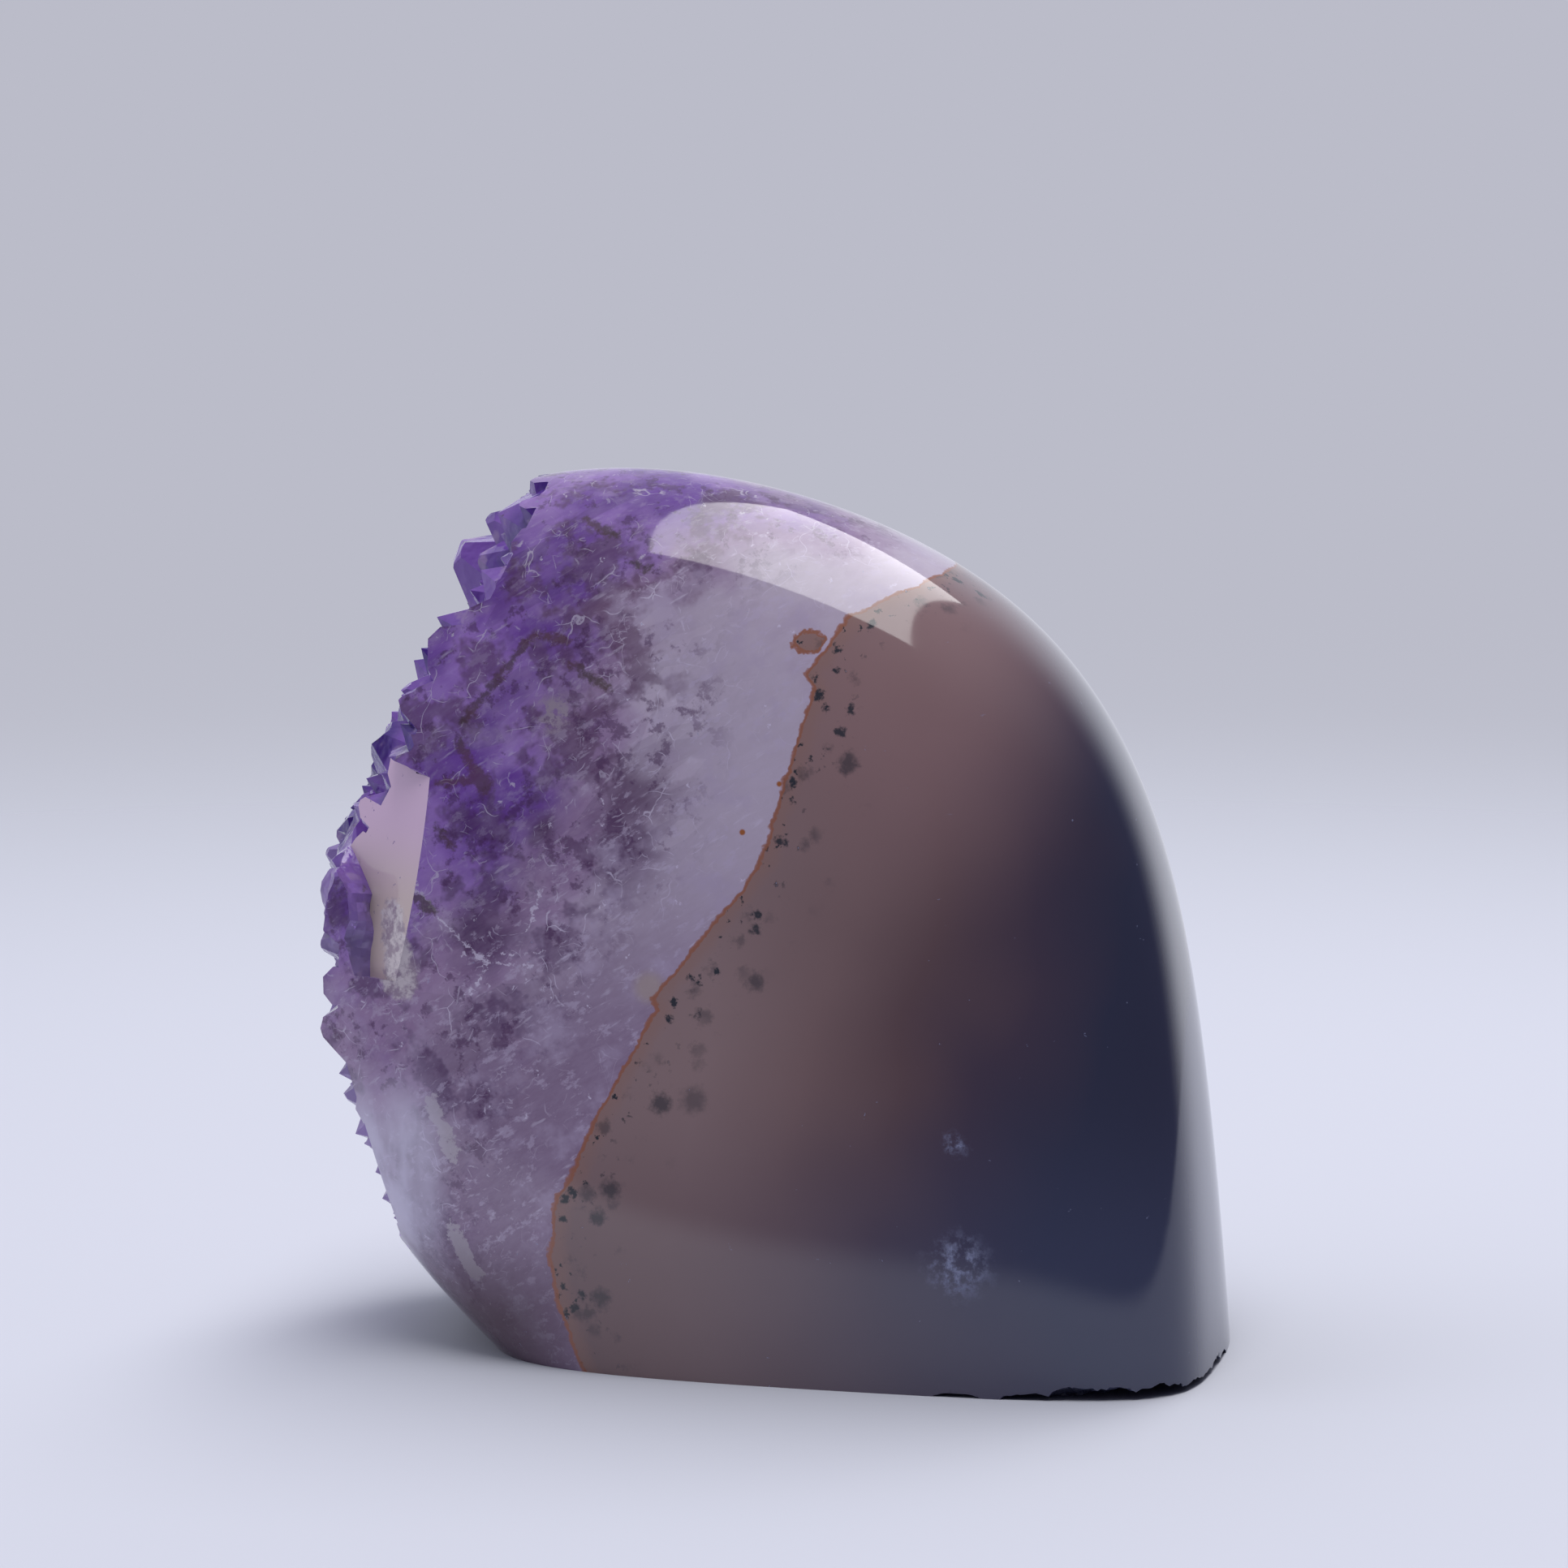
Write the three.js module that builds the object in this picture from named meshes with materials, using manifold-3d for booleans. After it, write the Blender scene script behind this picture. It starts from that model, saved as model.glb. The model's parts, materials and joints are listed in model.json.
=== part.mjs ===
// Amethyst druzy freeform: agate and amethyst quartz grown together, sawn flat underneath, polished all
// round, with the natural druse of crystals left on its left side. Millimetres, +Z up, the stone's front
// towards -Y. The origin is the middle of the stone's outline on the surface that it stands on.
import * as THREE from 'three';
import { mergeVertices } from 'three/addons/utils/BufferGeometryUtils.js';
import Module from 'manifold-3d';

// The polished form: a rounded body ground with broad faces. Each face has the compass angle and the rise
// of its direction, in degrees, and its distance from the middle of the form.
const FORM_MIDDLE = new THREE.Vector3(0, 0, 32);
const FORM_SHARPNESS = 5.5;
const FORM_DETAIL = 15;
const GROUND_FACES = {
  front: [-103, 3, 18.5],
  frontUpper: [-100, 26, 28.3],
  frontShoulder: [-97, 54, 42.6],
  frontLeft: [-142, -4, 52],
  right: [-15, 3, 36.1],
  rightUpper: [-6, 24, 42.6],
  rightShoulder: [0, 47, 39.2],
  crown: [0, 68, 40.6],
  backRight: [40, 6, 32.4],
  back: [92, 3, 21.2],
  backUpper: [90, 28, 27.9],
  backShoulder: [88, 56, 41.2],
  backLeft: [142, -2, 41],
  left: [180, -8, 54],
  leftUpper: [180, 32, 47],
  leftUnder: [180, -36, 42],
  leftFoot: [190, -62, 45.2],
  underside: [0, -90, 80],
};

// Where the middle of the stone's outline lies in the frame that the form is drawn in. The stone is moved
// by this much, so that the origin is the middle.
const OUTLINE_MIDDLE = new THREE.Vector3(-0.4, -1.1, 0);

// The saw cut underneath, and blocks large enough to cut the whole stone.
const SAW_CUT_Z = 0;
const BLOCK = 200;

// The druse: three slopes that crystals stand on. Each has the direction it faces, its middle, its spread
// across and along the slope, and how many crystals stand on it, with their radius and the height of
// their shoulders.
const CRYSTAL_ROOT = 7;
const CRYSTAL_RISE = 1.27 * Math.cos(Math.PI / 6);
const CRYSTAL_LEAN = 12;
const SLOPES = {
  upper: {
    facing: [-0.884, -0.02, 0.467],
    middle: [-26.9, 3, 52.9],
    across: 42,
    along: 38,
    crystals: 120,
    radius: [2.2, 5],
    shoulder: [-2.2, -0.5],
  },
  waist: {
    facing: [-0.995, 0, 0.03],
    middle: [-34.5, 2, 34],
    across: 34,
    along: 16,
    crystals: 44,
    radius: [1.8, 3.8],
    shoulder: [-2, -0.6],
  },
  lower: {
    facing: [-0.96, 0.05, -0.278],
    middle: [-31.9, 3, 18.8],
    across: 36,
    along: 22,
    crystals: 64,
    radius: [1.6, 3.2],
    shoulder: [-1.7, -0.6],
  },
};

// The flat bevel ground beside the druse at the front left.
const BEVEL_TURN = 48;
const BEVEL_POINT = new THREE.Vector3(-28.6, -10.8, 39.5);
const BEVEL_HEIGHT = 17;
const BEVEL_DEPTH = 20;

// Chips knocked out of the sawn edge at the right front: place along the edge, reach and height.
const EDGE_CHIPS = [
  [8, -23.6, 1.3, 0.5],
  [14, -24.4, 1.8, 0.7],
  [20, -25.2, 1.5, 0.9],
  [25.5, -25.4, 2.6, 1.6],
  [29.5, -21.5, 3.4, 2.2],
  [32.5, -16.5, 2.8, 1.8],
  [35.5, -10.5, 2.0, 1.1],
];

const wasm = await Module();
wasm.setup();

function toSolid(geometry) {
  geometry.deleteAttribute('normal');
  geometry.deleteAttribute('uv');
  const merged = mergeVertices(geometry, 1e-4);
  return new wasm.Manifold(new wasm.Mesh({
    numProp: 3,
    vertProperties: new Float32Array(merged.attributes.position.array),
    triVerts: new Uint32Array(merged.index.array),
  }));
}

function toGeometry(solid) {
  const mesh = solid.getMesh();
  const geometry = new THREE.BufferGeometry();
  geometry.setAttribute('position', new THREE.BufferAttribute(mesh.vertProperties, 3));
  geometry.setIndex(new THREE.BufferAttribute(mesh.triVerts, 1));
  geometry.computeVertexNormals();
  return geometry;
}

// A direction from its compass angle and its rise above the horizon.
function direction(compass, rise) {
  const turn = THREE.MathUtils.degToRad(compass);
  const lift = THREE.MathUtils.degToRad(rise);
  return new THREE.Vector3(Math.cos(lift) * Math.cos(turn), Math.cos(lift) * Math.sin(turn), Math.sin(lift));
}

const GROUND = Object.values(GROUND_FACES).map(([compass, rise, distance]) => (
  { facing: direction(compass, rise), distance }
));

// How far the polished surface is from the middle of the form: the nearest ground face, with the edges
// between the faces rounded over.
function polishedReach(outward) {
  let sum = 0;
  for (const face of GROUND) {
    sum += Math.max(0, outward.dot(face.facing) / face.distance) ** FORM_SHARPNESS;
  }
  return sum ** (-1 / FORM_SHARPNESS);
}

function polishedForm() {
  const geometry = new THREE.IcosahedronGeometry(1, FORM_DETAIL);
  const place = geometry.attributes.position;
  const outward = new THREE.Vector3();
  for (let i = 0; i < place.count; i += 1) {
    outward.fromBufferAttribute(place, i).normalize();
    const point = outward.clone().multiplyScalar(polishedReach(outward)).add(FORM_MIDDLE);
    place.setXYZ(i, point.x, point.y, point.z);
  }
  return toSolid(geometry);
}

// The part of a number after its point. Steps of an irrational number spread it evenly between 0 and 1.
function spread(step, index) {
  return (0.5 + step * index) % 1;
}

function between([low, high], share) {
  return low + (high - low) * share;
}

// A frame that stands on a slope: X across it, Y up along it, Z out of it.
function slopeFrame(slope) {
  const out = new THREE.Vector3(...slope.facing).normalize();
  const across = new THREE.Vector3(0, 0, 1).cross(out).normalize();
  const along = new THREE.Vector3().crossVectors(out, across);
  return new THREE.Matrix4().makeBasis(across, along, out).setPosition(...slope.middle);
}

// A block whose top lies on a slope, for the mass that the crystals grow from.
function slopeMass(slope) {
  const geometry = new THREE.BoxGeometry(BLOCK, BLOCK, BLOCK);
  geometry.translate(0, 0, -BLOCK / 2);
  geometry.applyMatrix4(slopeFrame(slope));
  return toSolid(geometry);
}

// One quartz crystal: a six-sided column with a six-sided point, whose tip is a little off the middle.
function crystal(slope, index) {
  const radius = between(slope.radius, spread(0.6180339887, index) ** 1.6);
  const shoulder = between(slope.shoulder, spread(0.4142135624, index));
  const tip = shoulder + radius * CRYSTAL_RISE;
  const profile = [[0, -CRYSTAL_ROOT], [radius, -CRYSTAL_ROOT], [radius, shoulder], [0, tip]];
  const geometry = new THREE.LatheGeometry(profile.map(([x, y]) => new THREE.Vector2(x, y)), 6);
  const place = geometry.attributes.position;
  for (let i = 0; i < place.count; i += 1) {
    if (place.getY(i) > shoulder + 0.01) {
      place.setX(i, place.getX(i) + radius * 0.3 * (spread(0.2360679775, index) - 0.5));
      place.setZ(i, place.getZ(i) + radius * 0.3 * (spread(0.6457513111, index) - 0.5));
    }
  }
  geometry.rotateX(Math.PI / 2);
  geometry.rotateZ(Math.PI * spread(0.7320508076, index));
  geometry.rotateX(THREE.MathUtils.degToRad(CRYSTAL_LEAN * (2 * spread(0.3166247904, index) - 1)));
  geometry.rotateY(THREE.MathUtils.degToRad(CRYSTAL_LEAN * (2 * spread(0.6055512755, index) - 1)));
  const across = slope.across * (spread(0.7548776662, index) - 0.5);
  const along = slope.along * (spread(0.5698402910, index) - 0.5);
  geometry.translate(across, along, 0);
  geometry.applyMatrix4(slopeFrame(slope));
  return toSolid(geometry);
}

// The mass under the crystals, with the crystals of every slope grown out of it.
function druse() {
  const slopes = Object.values(SLOPES);
  let solid = slopes.map(slopeMass).reduce((mass, next) => mass.intersect(next));
  for (const slope of slopes) {
    for (let index = 0; index < slope.crystals; index += 1) {
      solid = solid.add(crystal(slope, index));
    }
  }
  return solid;
}

function bevelBlock() {
  const geometry = new THREE.BoxGeometry(BLOCK, BEVEL_DEPTH, BEVEL_HEIGHT);
  geometry.translate(0, -BEVEL_DEPTH / 2, 0);
  geometry.rotateZ(-THREE.MathUtils.degToRad(BEVEL_TURN));
  geometry.translate(...BEVEL_POINT);
  return toSolid(geometry);
}

function aboveSawCut() {
  const geometry = new THREE.BoxGeometry(BLOCK, BLOCK, BLOCK);
  geometry.translate(0, 0, SAW_CUT_Z + BLOCK / 2);
  return toSolid(geometry);
}

function edgeChip([x, y, reach, height], index) {
  const geometry = new THREE.IcosahedronGeometry(1, 0);
  geometry.rotateZ(index);
  geometry.scale(reach, reach, height);
  geometry.translate(x, y, SAW_CUT_Z);
  return toSolid(geometry);
}

// The whole stone: the druse cut to the polished form, sawn flat, bevelled and chipped.
let stone = druse().intersect(polishedForm()).intersect(aboveSawCut()).subtract(bevelBlock());
EDGE_CHIPS.forEach((chip, index) => {
  stone = stone.subtract(edgeChip(chip, index));
});

const amethystAgate = new THREE.MeshStandardMaterial({ color: 0x6a5575, roughness: 0.12, metalness: 0 });
const freeform = new THREE.Mesh(toGeometry(stone), amethystAgate);
freeform.name = 'amethyst_freeform';
freeform.position.copy(OUTLINE_MIDDLE).negate();

const part = new THREE.Group();
part.add(freeform);

export default part;
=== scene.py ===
import json
import math

import bmesh
import bpy
from mathutils import Matrix, Vector, noise

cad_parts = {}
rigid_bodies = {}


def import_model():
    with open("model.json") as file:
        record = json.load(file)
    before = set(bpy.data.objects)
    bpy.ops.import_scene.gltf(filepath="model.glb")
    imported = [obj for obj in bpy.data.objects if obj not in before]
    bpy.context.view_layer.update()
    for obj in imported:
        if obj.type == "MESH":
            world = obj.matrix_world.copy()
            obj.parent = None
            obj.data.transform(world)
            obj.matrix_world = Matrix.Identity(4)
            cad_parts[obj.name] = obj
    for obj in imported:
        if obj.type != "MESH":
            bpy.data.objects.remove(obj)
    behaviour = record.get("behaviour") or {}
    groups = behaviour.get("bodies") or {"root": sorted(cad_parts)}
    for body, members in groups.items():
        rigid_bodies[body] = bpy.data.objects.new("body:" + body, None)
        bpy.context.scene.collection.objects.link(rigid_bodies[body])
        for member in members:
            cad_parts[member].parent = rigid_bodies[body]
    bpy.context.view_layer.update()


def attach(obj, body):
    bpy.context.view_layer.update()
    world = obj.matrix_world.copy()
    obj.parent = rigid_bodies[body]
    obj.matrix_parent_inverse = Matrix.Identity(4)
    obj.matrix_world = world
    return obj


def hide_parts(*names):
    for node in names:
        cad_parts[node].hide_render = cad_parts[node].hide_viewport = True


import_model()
scene = bpy.context.scene

# Colours are shown as they are, and light bounces no more often than a mostly milky stone needs.
scene.view_settings.view_transform = "Standard"
scene.cycles.max_bounces = 5
scene.cycles.diffuse_bounces = 1
scene.cycles.glossy_bounces = 2
scene.cycles.transmission_bounces = 4
scene.cycles.caustics_reflective = False
scene.cycles.caustics_refractive = False

# The camera stands half a metre in front of the stone and looks a little down on it, through a long lens.
AIM = Vector((0.00125, 0.0011, 0.045))
CAMERA_DISTANCE = 0.527
CAMERA_RISE = math.radians(8)
camera_data = bpy.data.cameras.new("camera")
camera_data.lens = 150
camera_data.sensor_width = 36
camera_data.clip_start = 0.05
camera_data.clip_end = 20
camera = bpy.data.objects.new("camera", camera_data)
camera.location = AIM + CAMERA_DISTANCE * Vector((0, -math.cos(CAMERA_RISE), math.sin(CAMERA_RISE)))
camera.rotation_euler = (math.radians(90) - CAMERA_RISE, 0, 0)
scene.collection.objects.link(camera)
scene.camera = camera

# The polished form: a pebble of agate and amethyst ground on a wheel with broad faces that run into each
# other, then polished. It is drawn in millimetres around its middle. Each face has the compass angle and
# the rise of its direction, and its distance from the middle.
FORM_MIDDLE = Vector((0, 0, 32))
FORM_SHARPNESS = 5.5
GROUND_FACES = (
    (-103, 3, 18.5), (-100, 26, 28.3), (-97, 54, 42.6), (-142, -4, 52), (-15, 3, 36.1), (-6, 24, 42.6),
    (0, 47, 39.2), (0, 68, 40.6), (40, 6, 32.4), (92, 3, 21.2), (90, 28, 27.9), (88, 56, 41.2),
    (142, -2, 41), (180, -8, 54), (180, 32, 47), (180, -36, 42), (190, -62, 45.2), (0, -90, 80),
)


def direction(compass, rise):
    turn, lift = math.radians(compass), math.radians(rise)
    return Vector((math.cos(lift) * math.cos(turn), math.cos(lift) * math.sin(turn), math.sin(lift)))


ground = [direction(compass, rise) / distance for compass, rise, distance in GROUND_FACES]


def gauge(offset):
    return sum(max(0, offset.dot(face)) ** FORM_SHARPNESS for face in ground) ** (1 / FORM_SHARPNESS)


def solid_object(name, mesh_work, collection):
    mesh = bpy.data.meshes.new(name)
    mesh_work.to_mesh(mesh)
    mesh_work.free()
    solid = bpy.data.objects.new(name, mesh)
    collection.objects.link(solid)
    return solid


bench = bpy.data.collections.new("bench")
scene.collection.children.link(bench)

body_work = bmesh.new()
bmesh.ops.create_icosphere(body_work, subdivisions=7, radius=1)
for vertex in body_work.verts:
    outward = vertex.co.normalized()
    vertex.co = FORM_MIDDLE + outward / gauge(outward)
body = solid_object("polished_body", body_work, bench)

# The druse: the open face of the vein on the stone's left side, where the last amethyst crystals ended in
# points. Broad crystals stand side by side on three slopes, and finer ones have grown on and between them.
BLOCK = 200
CRYSTAL_ROOT = 7
CRYSTAL_LEAN = 12
CRYSTAL_TIP_SHIFT = 0.3
CRYSTAL_RISE = 1.27 * math.cos(math.pi / 6)
SLOPES = (
    # facing, middle, spread across and along, crystals, radius, shoulder
    ((-0.884, -0.02, 0.467), (-26.9, 3, 52.9), 42, 38, 120, (2.2, 5), (-2.2, -0.5)),
    ((-0.995, 0, 0.03), (-34.5, 2, 34), 34, 16, 44, (1.8, 3.8), (-2, -0.6)),
    ((-0.96, 0.05, -0.278), (-31.9, 3, 18.8), 36, 22, 64, (1.6, 3.2), (-1.7, -0.6)),
)
BLUNTNESS = (0.55, 1.1)
FINE_CRYSTALS = (230, 80, 110)
FINE_RADIUS = (0.9, 2.2)
FINE_SHOULDER = (-1.2, -0.2)
FINE_LEAN = 24
FINE_TIP_SHIFT = 0.2
FINE_START = 7.3
FINE_OVERLAP = 2
RADIUS_STEP = 0.6180339887
SHOULDER_STEP = 0.4142135624
TURN_STEP = 0.7320508076
TIP_STEPS = (0.2360679775, 0.6457513111)
FINE_TIP_STEPS = (0.236, 0.645)
LEAN_STEPS = (0.3166247904, 0.6055512755)
PLACE_STEPS = (0.7548776662, 0.5698402910)
BLUNT_STEP = 3.7


def spread(step, index):
    """The part after the point: steps of an irrational number fall evenly between 0 and 1."""
    return (0.5 + step * index) % 1


def between(limits, share):
    return limits[0] + (limits[1] - limits[0]) * share


def slope_frame(facing, middle):
    out = Vector(facing).normalized()
    across = Vector((0, 0, 1)).cross(out).normalized()
    turned = Matrix((across, out.cross(across), out)).transposed()
    return Matrix.Translation(middle) @ turned.to_4x4()


def grow_crystal(name, radius, shoulder, tip_shift, turn, lean, place, standing_on):
    crystal = bmesh.new()
    rise = radius * CRYSTAL_RISE * between(BLUNTNESS, abs(math.sin(BLUNT_STEP * turn + radius)))
    bmesh.ops.create_cone(
        crystal, cap_ends=True, segments=6, radius1=radius, radius2=0, depth=rise,
        matrix=Matrix.Translation((0, 0, shoulder + rise / 2)))
    for vertex in crystal.verts:
        if vertex.co.z > shoulder + rise / 2:
            vertex.co += Vector((tip_shift[0], tip_shift[1], 0))
    foot = [face for face in crystal.faces if len(face.verts) == 6]
    column = bmesh.ops.extrude_face_region(crystal, geom=foot)["geom"]
    bmesh.ops.delete(crystal, geom=foot, context="FACES_ONLY")
    low = [element for element in column if isinstance(element, bmesh.types.BMVert)]
    bmesh.ops.translate(crystal, vec=(0, 0, -CRYSTAL_ROOT - shoulder), verts=low)
    pose = (Matrix.Translation((*place, 0)) @ Matrix.Rotation(lean[1], 4, "Y")
            @ Matrix.Rotation(lean[0], 4, "X") @ Matrix.Rotation(turn, 4, "Z"))
    bmesh.ops.transform(crystal, matrix=standing_on @ pose, verts=crystal.verts)
    bmesh.ops.recalc_face_normals(crystal, faces=crystal.faces)
    solid_object(name, crystal, druse)


druse = bpy.data.collections.new("druse")
bench.children.link(druse)
mass = None
for number, (facing, middle, across, along, count, radii, shoulders) in enumerate(SLOPES):
    standing_on = slope_frame(facing, middle)
    block_work = bmesh.new()
    bmesh.ops.create_cube(block_work, size=BLOCK, matrix=standing_on @ Matrix.Translation((0, 0, -BLOCK / 2)))
    block = solid_object(f"mass_{number}", block_work, bench)
    if mass is None:
        mass = block
    else:
        trim = mass.modifiers.new("trim", "BOOLEAN")
        trim.operation, trim.solver, trim.object = "INTERSECT", "MANIFOLD", block
    for index in range(count):
        radius = between(radii, spread(RADIUS_STEP, index) ** 1.6)
        shoulder = between(shoulders, spread(SHOULDER_STEP, index))
        tip_shift = (
            radius * CRYSTAL_TIP_SHIFT * (spread(TIP_STEPS[0], index) - 0.5),
            -radius * CRYSTAL_TIP_SHIFT * (spread(TIP_STEPS[1], index) - 0.5))
        lean = (
            math.radians(CRYSTAL_LEAN * (2 * spread(LEAN_STEPS[0], index) - 1)),
            math.radians(CRYSTAL_LEAN * (2 * spread(LEAN_STEPS[1], index) - 1)))
        place = (
            across * (spread(PLACE_STEPS[0], index) - 0.5),
            along * (spread(PLACE_STEPS[1], index) - 0.5))
        grow_crystal(f"crystal_{number}_{index}", radius, shoulder, tip_shift,
                     math.pi * spread(TURN_STEP, index), lean, place, standing_on)
    for index in range(FINE_CRYSTALS[number]):
        radius = between(FINE_RADIUS, spread(RADIUS_STEP, index) ** 2)
        shoulder = between(FINE_SHOULDER, spread(SHOULDER_STEP, index + 3))
        tip_shift = (
            FINE_TIP_SHIFT * radius * (spread(FINE_TIP_STEPS[0], index) - 0.5),
            FINE_TIP_SHIFT * radius * (spread(FINE_TIP_STEPS[1], index) - 0.5))
        lean = (
            math.radians(FINE_LEAN * (2 * spread(LEAN_STEPS[0], index) - 1)),
            math.radians(FINE_LEAN * (2 * spread(LEAN_STEPS[1], index) - 1)))
        place = (
            (across + FINE_OVERLAP) * (spread(PLACE_STEPS[0], index + FINE_START) - 0.5),
            (along + FINE_OVERLAP) * (spread(PLACE_STEPS[1], index + FINE_START) - 0.5))
        grow_crystal(f"fine_{number}_{index}", radius, shoulder, tip_shift,
                     math.pi * spread(TURN_STEP, index), lean, place, standing_on)
grow = mass.modifiers.new("grow", "BOOLEAN")
grow.operation, grow.solver, grow.operand_type, grow.collection = "UNION", "MANIFOLD", "COLLECTION", druse

# The tallest points are worn down to uneven lumps, a little above the slopes. The lumps have a height and a
# pace over the stone.
WORN_HEIGHT = 2.6
WORN_SHARPNESS = 16
WORN_LUMPS = ((2.2, 0.21), (0.6, 0.8))
TALLEST_REACH = 80
LEAST_FENCE = 0.011
worn_work = bmesh.new()
bmesh.ops.create_icosphere(worn_work, subdivisions=6, radius=1)
fences = [Vector((0, 0, 1 / TALLEST_REACH))]
for facing, middle, *_ in SLOPES:
    out = Vector(facing).normalized()
    fences.append(out / ((Vector(middle) - FORM_MIDDLE).dot(out) + WORN_HEIGHT))
for vertex in worn_work.verts:
    outward = vertex.co.normalized()
    squeeze = sum(max(LEAST_FENCE, outward.dot(fence)) ** WORN_SHARPNESS for fence in fences)
    spot = FORM_MIDDLE + outward * squeeze ** (-1 / WORN_SHARPNESS)
    lump = sum(height * noise.noise(spot * pace) for height, pace in WORN_LUMPS)
    vertex.co = spot + outward * lump
worn = solid_object("worn_points", worn_work, bench)
wear = mass.modifiers.new("wear", "BOOLEAN")
wear.operation, wear.solver, wear.object = "INTERSECT", "MANIFOLD", worn

# The saw cut underneath, the small flat bevel ground beside the druse, and the chips knocked out of the sawn
# edge at the right front. The bevel narrows towards its foot, where its left edge has broken away.
BEVEL_TURN = math.radians(48)
BEVEL_TILT = math.radians(9)
BEVEL_POINT = (-28.6, -10.8, 39.5)
BEVEL_TOP = 8.5
BEVEL_FOOT = -8.8
BEVEL_LEFT = -9.6
BEVEL_RIGHT = 60
BEVEL_DEPTH = 20
BEVEL_NARROWS_BELOW = 2
BEVEL_NARROWS_OVER = 4.5
BEVEL_NARROWING = 5.5
BEVEL_TOP_SLANT = 0.25
BEVEL_TOP_WAVE = (1.6, 0.45)
BEVEL_LEFT_WAVE = (1.1, 0.4)
EDGE_WITHIN = 0.1
EDGE_CHIPS = (
    # place along the edge, reach, height
    (8, -24.2, 1.6, 0.3), (14, -24.9, 2.2, 0.4), (20, -25.4, 2.4, 0.6), (23.5, -25.6, 2.6, 1.1),
    (26.5, -24.9, 3, 1.0), (29.5, -22.6, 3.2, 1.2), (31.5, -19.6, 2.8, 0.9), (33.3, -16.5, 2.6, 0.7),
    (34.8, -13.4, 2.4, 0.8), (36, -10.2, 2, 0.5),
)
CHIP_ROUGHNESS = ((0.3, 0.9), (0.2, 2.6))
cuts = bpy.data.collections.new("cuts")
bench.children.link(cuts)
saw_work = bmesh.new()
bmesh.ops.create_cube(saw_work, size=BLOCK, matrix=Matrix.Translation((0, 0, -BLOCK / 2)))
solid_object("below_the_saw_cut", saw_work, cuts)
bevel_work = bmesh.new()
bevel_place = (Matrix.Translation(BEVEL_POINT) @ Matrix.Rotation(-BEVEL_TURN, 4, "Z")
               @ Matrix.Rotation(-BEVEL_TILT, 4, "X"))
bmesh.ops.create_cube(
    bevel_work, size=1,
    matrix=bevel_place
    @ Matrix.Translation(((BEVEL_RIGHT + BEVEL_LEFT) / 2, -BEVEL_DEPTH / 2, (BEVEL_TOP + BEVEL_FOOT) / 2))
    @ Matrix.Diagonal((BEVEL_RIGHT - BEVEL_LEFT, BEVEL_DEPTH, BEVEL_TOP - BEVEL_FOOT, 1)))
bmesh.ops.subdivide_edges(bevel_work, edges=bevel_work.edges, cuts=23, use_grid_fill=True)
for vertex in bevel_work.verts:
    spot = bevel_place.inverted() @ vertex.co
    narrowing = min(1, max(0, (BEVEL_NARROWS_BELOW - spot.z) / BEVEL_NARROWS_OVER))
    if spot.z > BEVEL_TOP - EDGE_WITHIN:
        wave = BEVEL_TOP_WAVE[0] * noise.noise(vertex.co * BEVEL_TOP_WAVE[1])
        spot.z += wave - BEVEL_TOP_SLANT * (spot.x + 3)
    if spot.x < BEVEL_LEFT + EDGE_WITHIN:
        wave = BEVEL_LEFT_WAVE[0] * noise.noise(vertex.co * BEVEL_LEFT_WAVE[1])
        spot.x += wave + BEVEL_NARROWING * narrowing
    vertex.co = bevel_place @ spot
solid_object("bevel", bevel_work, cuts)
for number, (x, y, reach, height) in enumerate(EDGE_CHIPS):
    chip_work = bmesh.new()
    bmesh.ops.create_icosphere(
        chip_work, subdivisions=4, radius=1,
        matrix=Matrix.Translation((x, y, 0)) @ Matrix.Diagonal((reach, reach, height, 1)))
    for vertex in chip_work.verts:
        rough = [share * noise.noise_vector(vertex.co * pace) for share, pace in CHIP_ROUGHNESS]
        vertex.co += height * (rough[0] + rough[1])
    solid_object(f"chip_{number}", chip_work, cuts)

# The body keeps what lies within the druse, less every cut. The tools are then put away.
keep = body.modifiers.new("druse", "BOOLEAN")
keep.operation, keep.solver, keep.object = "INTERSECT", "MANIFOLD", mass
cut = body.modifiers.new("cuts", "BOOLEAN")
cut.operation, cut.solver, cut.operand_type, cut.collection = "DIFFERENCE", "MANIFOLD", "COLLECTION", cuts
bpy.context.view_layer.update()
finished = body.evaluated_get(bpy.context.evaluated_depsgraph_get())
stone_mesh = bpy.data.meshes.new_from_object(finished)
stone_mesh.name = "amethyst_freeform_stone"
for tool in list(bench.all_objects):
    bpy.data.objects.remove(tool)
bpy.data.collections.remove(druse)
bpy.data.collections.remove(cuts)
bpy.data.collections.remove(bench)

# The whole stone, turned from millimetres to metres and stood on the middle of its outline. Its surface keeps
# what it is: 0 polished, 1 crystal face, 2 sawn, 3 ground bevel, 4 chipped.
OUTLINE_MIDDLE = Vector((-0.4, -1.1, 0))
POLISHED, CRYSTAL, SAWN, GROUND_FLAT, CHIPPED = range(5)
MERGED_WITHIN = 0.002
ON_FORM_WITHIN = 0.0012
ON_BEVEL_WITHIN = 0.02
ON_SAW_CUT_WITHIN = 0.01
BEVEL_LIES_BELOW_X = -20
FACES_AS_BEVEL = 0.99
stone_work = bmesh.new()
stone_work.from_mesh(stone_mesh)
bmesh.ops.remove_doubles(stone_work, verts=stone_work.verts, dist=MERGED_WITHIN)
bmesh.ops.dissolve_degenerate(stone_work, edges=stone_work.edges, dist=MERGED_WITHIN)
kind_layer = stone_work.faces.layers.float.new("surface_kind")
bevel_facing = bevel_place.to_3x3() @ Vector((0, -1, 0))
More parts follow.
